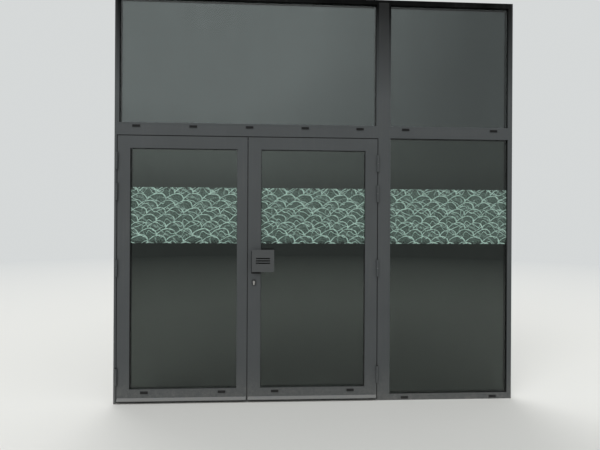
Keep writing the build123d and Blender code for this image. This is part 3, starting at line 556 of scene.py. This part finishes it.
def finish_of(node):
    return SPECIAL_FINISH.get(node, SLOT_FINISH[slot_of[node]])


def paint(piece, material):
    """Give every face of a piece one material."""
    slots = piece.data.materials
    if len(slots):
        for k in range(len(slots)):
            slots[k] = material
    else:
        slots.append(material)


for node, piece in nodes.items():
    paint(piece, finish_of(node))

# Softened edges


def new_piece(name, shape, material, body, stands_for=()):
    """Turn a bmesh into a piece that rides on a body."""
    bmesh.ops.recalc_face_normals(shape, faces=shape.faces)
    mesh = bpy.data.meshes.new(name)
    shape.to_mesh(mesh)
    shape.free()
    piece = bpy.data.objects.new(name, mesh)
    bpy.context.scene.collection.objects.link(piece)
    paint(piece, material)
    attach(piece, body)
    if stands_for:
        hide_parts(*stands_for)
    return piece


def soften(piece, width):
    """Round a piece's edges with a bevel and smooth shading."""
    for face in piece.data.polygons:
        face.use_smooth = True
    bevel = piece.modifiers.new("Softened edges", "BEVEL")
    bevel.width = width
    bevel.segments = 2
    bevel.limit_method = "ANGLE"
    bevel.angle_limit = math.radians(35)
    bevel.miter_outer = "MITER_ARC"
    levelled = piece.modifiers.new("Level faces", "WEIGHTED_NORMAL")
    levelled.mode = "FACE_AREA"
    levelled.weight = 100
    levelled.thresh = 0.01


WELD_WITHIN = 0.02 * MM
FLAT_WITHIN = math.radians(0.5)


def softened_copy(node, width):
    """A merged copy of a CAD node with rounded edges, which stands for it."""
    shape = bmesh.new()
    shape.from_mesh(nodes[node].data)
    bmesh.ops.remove_doubles(shape, verts=shape.verts, dist=WELD_WITHIN)
    bmesh.ops.dissolve_limit(shape, angle_limit=FLAT_WITHIN, verts=shape.verts, edges=shape.edges)
    # A large face with many corners can touch itself, which shades badly
    bmesh.ops.triangulate(shape, faces=[face for face in shape.faces if len(face.verts) > 4])
    piece = new_piece(node + "_softened", shape, finish_of(node), body_of[node], (node,))
    soften(piece, width)


ROUNDING = {
    "pull_handle_outer": 1.2 * MM,
    "pull_handle_inner": 1.2 * MM,
    "lock_escutcheons": 0.8 * MM,
    "lock_cylinder": 0.3 * MM,
    "hinge_frame_halves": 0.6 * MM,
    "left_hinge_halves": 0.6 * MM,
    "right_hinge_halves": 0.6 * MM,
    "left_drip_bar": 0.4 * MM,
    "right_drip_bar": 0.4 * MM,
    "frame_drain_caps": 0.5 * MM,
    "left_drain_caps": 0.5 * MM,
    "right_drain_caps": 0.5 * MM,
}
PROFILE_ROUNDING = 0.5 * MM
for node, width in ROUNDING.items():
    softened_copy(node, width)
for node, slot in slot_of.items():
    if slot == "coated_aluminium" and node not in ROUNDING:
        softened_copy(node, PROFILE_ROUNDING)

# Printed films


def film_sheet(node):
    """Printed film as one flat sheet in the place of its CAD node, facing outwards."""
    low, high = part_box(node)
    shape = bmesh.new()
    size = high - low
    bmesh.ops.create_grid(shape, x_segments=1, y_segments=1, size=0.5)
    upright = Matrix.Rotation(math.radians(90), 4, "X")
    bmesh.ops.transform(shape, matrix=upright, verts=shape.verts)
    bmesh.ops.scale(shape, vec=(size.x, 1.0, size.z), verts=shape.verts)
    bmesh.ops.translate(shape, vec=(low + high) / 2, verts=shape.verts)
    middle = (low.x + high.x) / 2
    material = film_print(node.replace("_", " ").capitalize() + " print", middle, low.z, high.z)
    piece = new_piece(node + "_print", shape, material, body_of[node], (node,))
    # The normal of a lone face can come out either way
    if piece.data.polygons[0].normal.y > 0.0:
        piece.data.flip_normals()


for node in ("left_film", "right_film", "sidelight_film"):
    film_sheet(node)

# Gap seals, whose black also paints the shade in the gaps


def strip(shape, x, y, z, rounding):
    """Add a bar with rounded edges to a bmesh, between two places along each axis."""
    low = Vector((min(x), min(y), min(z)))
    high = Vector((max(x), max(y), max(z)))
    made = bmesh.ops.create_cube(shape, size=1.0)["verts"]
    bmesh.ops.scale(shape, vec=high - low, verts=made)
    bmesh.ops.translate(shape, vec=(low + high) / 2, verts=made)
    edges = list({edge for vert in made for edge in vert.link_edges})
    bmesh.ops.bevel(
        shape, geom=edges, offset=rounding, offset_type="OFFSET", segments=2, profile=0.5,
        affect="EDGES", material=-1,
    )


SEAL_REACH = 6.0 * MM
SEAL_SET_BACK = 2.6 * MM
SEAL_THICKNESS = 2.2 * MM
SEAL_OFF_FLOOR = 10.0 * MM
SEAL_ROUNDING = 0.6 * MM


def gap_shade_seal(leaf, outward):
    """Rubber lip that closes the gap over a leaf and along its hinges, just behind the faces; its black
    also paints the shade in the gap.
    """
    hinge_stile = leaf + "_hinge_stile"
    low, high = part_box(hinge_stile)
    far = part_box(leaf + "_meeting_stile")
    edge = low.x if outward < 0 else high.x
    end = far[1].x if outward < 0 else far[0].x
    tip = edge + outward * SEAL_REACH
    front = low.y + SEAL_SET_BACK
    depth = (front, front + SEAL_THICKNESS)
    top = high.z + SEAL_REACH
    shape = bmesh.new()
    strip(shape, (edge, tip), depth, (low.z + SEAL_OFF_FLOOR, top), SEAL_ROUNDING)
    strip(shape, (tip, end), depth, (high.z, top), SEAL_ROUNDING)
    new_piece(leaf + "_gap_seal", shape, rubber, body_of[hinge_stile])


gap_shade_seal("left", -1)
gap_shade_seal("right", 1)

# Screws and caps

UP = Vector((0.0, 0.0, 1.0))
EAST = Vector((1.0, 0.0, 0.0))
RIM_SEGMENTS = 3


def added_since(shape, old):
    """Vertices of a bmesh that aren't among the old ones."""
    return [vert for vert in shape.verts if vert not in old]


def round_head(shape, radius, height, rounding, segments):
    """Add a low round head at the origin, facing up; returns its top face."""
    old = set(shape.verts)
    bmesh.ops.create_cone(
        shape, cap_ends=True, segments=segments, radius1=radius, radius2=radius, depth=height,
        matrix=Matrix.Translation((0.0, 0.0, height / 2)),
    )
    rim = {
        edge for vert in added_since(shape, old) for edge in vert.link_edges
        if all(end.co.z > 0.99 * height for end in edge.verts)
    }
    bmesh.ops.bevel(
        shape, geom=list(rim), offset=rounding, offset_type="OFFSET", segments=RIM_SEGMENTS,
        profile=0.5, affect="EDGES", material=-1,
    )
    return next(
        face for vert in added_since(shape, old) for face in vert.link_faces
        if len(face.verts) == segments and face.normal.z > 0.9
    )


SCREW_HEIGHT = 0.6 * MM
SCREW_ROUNDING = 0.35 * MM
SCREW_SEGMENTS = 24
SOCKET_INSET = 0.42
SOCKET_WAIST = 0.74
SOCKET_DEPTH = 0.5 * MM
SOCKET_TAPER = 0.04 * MM


def screw(shape, radius):
    """Add a raised countersunk screw head with a six-lobed socket at the origin, facing up."""
    top = round_head(shape, radius, SCREW_HEIGHT, SCREW_ROUNDING, SCREW_SEGMENTS)
    bmesh.ops.inset_region(shape, faces=[top], thickness=SOCKET_INSET * radius, use_even_offset=True)
    for k, vert in enumerate(top.verts):
        if (k // 2) % 2:
            vert.co.x *= SOCKET_WAIST
            vert.co.y *= SOCKET_WAIST
    bmesh.ops.inset_region(shape, faces=[top], thickness=SOCKET_TAPER, depth=-SOCKET_DEPTH)


CAP_HEIGHT = 2.2 * MM
CAP_ROUNDING = 1.2 * MM
CAP_SEGMENTS = 32


def cap(shape, radius):
    """Add a domed cap at the origin, facing up."""
    round_head(shape, radius, CAP_HEIGHT, CAP_ROUNDING, CAP_SEGMENTS)


SMOOTH_BELOW = 2e-6


def heads(name, kind, places, facing, radius, material, body):
    """One piece of several like heads that face one way; only their large faces are shaded flat."""
    turn = UP.rotation_difference(facing).to_matrix().to_4x4()
    shape = bmesh.new()
    for place in places:
        old = set(shape.verts)
        kind(shape, radius)
        stood = Matrix.Translation(Vector(place)) @ turn
        bmesh.ops.transform(shape, matrix=stood, verts=added_since(shape, old))
    piece = new_piece(name, shape, material, body)
    for face in piece.data.polygons:
        face.use_smooth = face.area < SMOOTH_BELOW


PLATE_SCREW_RADIUS = 3.6 * MM
THRESHOLD_SCREW_RADIUS = 3.8 * MM
FACE_PLATE_SCREW_IN = 11.0 * MM
# Middle height of each plate on the passive leaf's edge, and half the distance between its screws
EDGE_PLATES = ((1016.0 * MM, 50.0 * MM), (1818.0 * MM, 90.0 * MM), (366.0 * MM, 90.0 * MM))
THRESHOLD_SCREWS = 6
THRESHOLD_SCREW_START = 80.0 * MM
THRESHOLD_SCREW_PITCH = 394.0 * MM
THRESHOLD_SCREW_ASIDE = 24.0 * MM

low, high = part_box("lock_case")
heads(
    "face_plate_screws", screw,
    [(low.x, 0.0, low.z + FACE_PLATE_SCREW_IN), (low.x, 0.0, high.z - FACE_PLATE_SCREW_IN)],
    -EAST, PLATE_SCREW_RADIUS, steel, "right_leaf",
)
low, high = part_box("left_edge_fittings")
heads(
    "edge_plate_screws", screw,
    [(high.x, 0.0, middle + side * half) for middle, half in EDGE_PLATES for side in (-1, 1)],
    EAST, PLATE_SCREW_RADIUS, steel, "left_leaf",
)
low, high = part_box("threshold")
heads(
    "threshold_screws", screw,
    [
        (low.x + THRESHOLD_SCREW_START + k * THRESHOLD_SCREW_PITCH, side * THRESHOLD_SCREW_ASIDE, high.z)
        for k in range(THRESHOLD_SCREWS)
        for side in (-1, 1)
    ],
    UP, THRESHOLD_SCREW_RADIUS, steel, "frame",
)

PIN_RADIUS = 4.0 * MM
PIN_INSIDE = 8.0 * MM
CAP_RADIUS = 8.4 * MM

low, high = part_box("hinge_pins")
# Going up, the pins' end levels are a lower end and an upper end by turns
levels = sorted({round(vert.co.z, 4) for vert in nodes["hinge_pins"].data.vertices})
y = (low.y + high.y) / 2
for side, x in (("left", low.x + PIN_RADIUS), ("right", high.x - PIN_RADIUS)):
    heads(
        side + "_hinge_lower_caps", cap, [(x, y, z - PIN_INSIDE) for z in levels[::2]],
        -UP, CAP_RADIUS, plastic, "frame",
    )
    heads(
        side + "_hinge_upper_caps", cap, [(x, y, z + PIN_INSIDE) for z in levels[1::2]],
        UP, CAP_RADIUS, plastic, side + "_leaf",
    )

# Black strips in the pulls' grooves and round their feet: painted shade and painted shadow

GROOVE_DEPTH = 27.0 * MM
SHADE_STRIP_THICKNESS = 1.0 * MM
GROOVE_PITCH = 19.0 * MM
SHADE_STRIP_HALF_WIDTH = 57.5 * MM
SHADE_STRIP_HALF_HEIGHT = 5.0 * MM
SHADE_STRIP_ROUNDING = 0.1 * MM


def groove_painted_shade(node, outward):
    """Black strips at the bottom of a pull's three grooves, painted shade that darkens them."""
    low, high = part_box(node)
    middle = (low + high) / 2
    face = low.y if outward < 0 else high.y
    bottom = face - outward * GROOVE_DEPTH
    x = (middle.x - SHADE_STRIP_HALF_WIDTH, middle.x + SHADE_STRIP_HALF_WIDTH)
    y = (bottom, bottom - outward * SHADE_STRIP_THICKNESS)
    shape = bmesh.new()
    for row in (-1, 0, 1):
        z = middle.z + row * GROOVE_PITCH
        strip(shape, x, y, (z - SHADE_STRIP_HALF_HEIGHT, z + SHADE_STRIP_HALF_HEIGHT), SHADE_STRIP_ROUNDING)
    new_piece(node + "_groove_backing", shape, plastic, body_of[node])


groove_painted_shade("pull_handle_outer", -1)
groove_painted_shade("pull_handle_inner", 1)

PULL_BASE_WIDTH = 53.0 * MM
PULL_BASE_HEIGHT = 150.0 * MM
SHADOW_STRIP_THICKNESS = 2.0 * MM
SHADOW_STRIP_BESIDE = 7.0 * MM
SHADOW_STRIP_BELOW = 18.0 * MM
SHADOW_STRIP_FROM_STILE_EDGE = 2.0 * MM
SHADOW_STRIP_ROUNDING = 0.4 * MM


def foot_painted_shadow(node, outward):
    """Black rubber strips on the stile round the base of a pull, wider than it below and at the free edge:
    a painted shadow of the pull.
    """
    low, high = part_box(node)
    stile_low, stile_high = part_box("right_meeting_stile")
    face = stile_low.y if outward < 0 else stile_high.y
    base_left = low.x
    base_right = low.x + PULL_BASE_WIDTH
    base_low = (low.z + high.z - PULL_BASE_HEIGHT) / 2
    base_high = base_low + PULL_BASE_HEIGHT
    left = base_left - SHADOW_STRIP_BESIDE
    right = stile_high.x - SHADOW_STRIP_FROM_STILE_EDGE
    bottom = low.z - SHADOW_STRIP_BELOW
    shape = bmesh.new()
    for x, z in (
        ((left, base_left), (bottom, base_high)),
        ((base_left, right), (bottom, base_low)),
        ((base_right, right), (base_low, base_high)),
    ):
        strip(shape, x, (face, face + outward * SHADOW_STRIP_THICKNESS), z, SHADOW_STRIP_ROUNDING)
    new_piece(node + "_foot_gasket", shape, rubber, body_of[node])


foot_painted_shadow("pull_handle_outer", -1)
foot_painted_shadow("pull_handle_inner", 1)

# Plugs in the upper ends of the stiles, with the leaf profile's sizes that they fit

SHELL_DEPTH = 27.0 * MM
WALL = 2.0 * MM
BREAK_WALL = 3.5 * MM
CLIP_WALL = 3.5 * MM
LEAF_REBATE = 22.0 * MM
LEAF_STEP = 20.0 * MM
FLANGE = 8.0 * MM
PLUG_FIT = 0.2 * MM
PLUG_DOWN = 0.6 * MM
PLUG_THICKNESS = 3.4 * MM
PLUG_ROUNDING = 0.3 * MM


def stile_plugs(leaf, outward):
    """Plastic plugs that close the upper ends of a leaf's stiles, stepped where the stiles are cut back."""
    shape = bmesh.new()
    for stile, way, step in (
        (leaf + "_hinge_stile", -outward, LEAF_STEP),
        (leaf + "_meeting_stile", outward, 0.0),
    ):
        low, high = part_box(stile)
        edge = low.x if way > 0 else high.x
        core = high.x - low.x - LEAF_REBATE
        outer_x = (edge + way * (WALL + PLUG_FIT), edge + way * (core - WALL - PLUG_FIT))
        inner_x = (edge + way * (step + WALL + PLUG_FIT), edge + way * (core - CLIP_WALL - PLUG_FIT))
        outer_y = (low.y + WALL + PLUG_FIT, low.y + SHELL_DEPTH - BREAK_WALL - PLUG_FIT)
        inner_front = high.y - SHELL_DEPTH
        flange_y = (inner_front + BREAK_WALL + PLUG_FIT, inner_front + FLANGE - PLUG_FIT)
        inner_y = (inner_front + FLANGE - PLUG_FIT, high.y - WALL - PLUG_FIT)
        top = high.z - PLUG_DOWN
        cut = top - LEAF_STEP
        strip(shape, outer_x, outer_y, (top - PLUG_THICKNESS, top), PLUG_ROUNDING)
        strip(shape, inner_x, inner_y, (cut - PLUG_THICKNESS, cut), PLUG_ROUNDING)
        strip(shape, inner_x, flange_y, (cut - PLUG_THICKNESS, top), PLUG_ROUNDING)
    new_piece(leaf + "_stile_plugs", shape, plastic, leaf + "_leaf")


stile_plugs("left", -1)
stile_plugs("right", 1)

# Floor, surroundings, light and camera

FLOOR = colour(0.76, 0.755, 0.73)
FLOOR_IN_REFLECTIONS = colour(0.56, 0.56, 0.54)
GLOW_IN_REFLECTIONS = 0.35
SURROUND = colour(0.67, 0.69, 0.69)
FLOOR_RADIUS = 90.0
FADE_FROM = 4.5
FADE_FULL = 16.0


def make_floor():
    """A wide pale floor that fades into the surroundings and is darker in reflections."""
    shape = bmesh.new()
    bmesh.ops.create_circle(shape, cap_ends=True, segments=96, radius=FLOOR_RADIUS)
    mesh = bpy.data.meshes.new("Floor")
    shape.to_mesh(mesh)
    shape.free()
    floor = bpy.data.objects.new("Floor", mesh)
    bpy.context.scene.collection.objects.link(floor)
    finish = Finish("Pale floor")
    tree = finish.tree
    distance = add_node(tree, "ShaderNodeVectorMath", {"operation": "LENGTH"}, vector=finish.place)
    far = ramp(tree, distance.outputs["Value"], FADE_FROM, FADE_FULL)
    mirrored = add_node(tree, "ShaderNodeLightPath").outputs["Is Glossy Ray"]
    finish.set(base_color=mixed(tree, mirrored, FLOOR, FLOOR_IN_REFLECTIONS), roughness=0.85)
    strength = ramp(tree, mirrored, 0.0, 1.0, 1.0, GLOW_IN_REFLECTIONS)
    glow = add_node(tree, "ShaderNodeEmission", None, color=SURROUND, strength=strength)
    blend = add_node(
        tree, "ShaderNodeMixShader", None,
        at_0=far, at_1=finish.shader.outputs[0], at_2=glow.outputs[0],
    )
    tree.links.new(blend.outputs[0], finish.output.inputs["Surface"])
    floor.data.materials.append(finish.material)


LIGHT_STRENGTH = 0.72
SKY_IN_REFLECTIONS = (0.42, 0.72)
MOST_IN_REFLECTIONS = 1.44


def make_surroundings():
    """Even surroundings that look plain; reflections show them brighter upwards and darker to the right."""
    world = bpy.data.worlds.new("Studio")
    bpy.context.scene.world = world
    world.use_nodes = True
    tree = world.node_tree
    rays = add_node(tree, "ShaderNodeLightPath")
    looked_at = maths(tree, "MAXIMUM", rays.outputs["Is Camera Ray"], rays.outputs["Is Transmission Ray"])
    plain = ramp(tree, looked_at, 0.0, 1.0, LIGHT_STRENGTH, 1.0)

    aim = add_node(tree, "ShaderNodeTexCoord").outputs["Generated"]
    right = along(tree, aim, "X")
    up = along(tree, aim, "Z")
    high = maths(tree, "MULTIPLY", ramp(tree, up, 0.0, 0.34), ramp(tree, right, -0.05, 0.38, 1.0, 0.0))
    mirrored = maths(tree, "ADD", high, ramp(tree, up, 0.0, 0.12, *SKY_IN_REFLECTIONS))
    mirrored = maths(tree, "MINIMUM", mirrored, MOST_IN_REFLECTIONS)

    in_reflections = rays.outputs["Is Glossy Ray"]
    plain = maths(tree, "MULTIPLY", plain, maths(tree, "SUBTRACT", 1.0, in_reflections))
    mirrored = maths(tree, "MULTIPLY", mirrored, in_reflections)
    background = tree.nodes["Background"]
    background.inputs["Color"].default_value = SURROUND
    tree.links.new(maths(tree, "ADD", plain, mirrored), background.inputs["Strength"])


def sun(name, toward, power, spread):
    """A soft distant lamp that shines along a direction and isn't seen in reflections."""
    lamp = bpy.data.lights.new(name, "SUN")
    lamp.energy = power
    lamp.angle = math.radians(spread)
    holder = bpy.data.objects.new(name, lamp)
    holder.rotation_mode = "QUATERNION"
    holder.rotation_quaternion = Vector(toward).to_track_quat("-Z", "Y")
    holder.location = (0.0, 0.0, 6.0)
    holder.visible_glossy = False
    holder.visible_transmission = False
    bpy.context.scene.collection.objects.link(holder)


make_floor()
make_surroundings()
sun("Key light", (0.45, 1.0, -0.85), power=1.5, spread=50)
sun("Fill light", (-0.8, 0.7, -0.6), power=0.5, spread=80)
sun("Back light", (0.3, -1.0, -0.8), power=1.1, spread=60)

# The photograph's viewpoint, about eye height over the floor

camera = bpy.data.cameras.new("Camera")
camera.sensor_width = 36.0
camera.lens = 27.0
camera.shift_y = -0.0059
camera.clip_end = 300.0
viewer = bpy.data.objects.new("Camera", camera)
viewer.location = (-0.3335, -3.732, 1.481)
viewer.rotation_euler = (math.radians(90.0), math.radians(-0.301), math.radians(-2.94))
bpy.context.scene.collection.objects.link(viewer)
bpy.context.scene.camera = viewer

bpy.context.scene.view_settings.view_transform = "Standard"
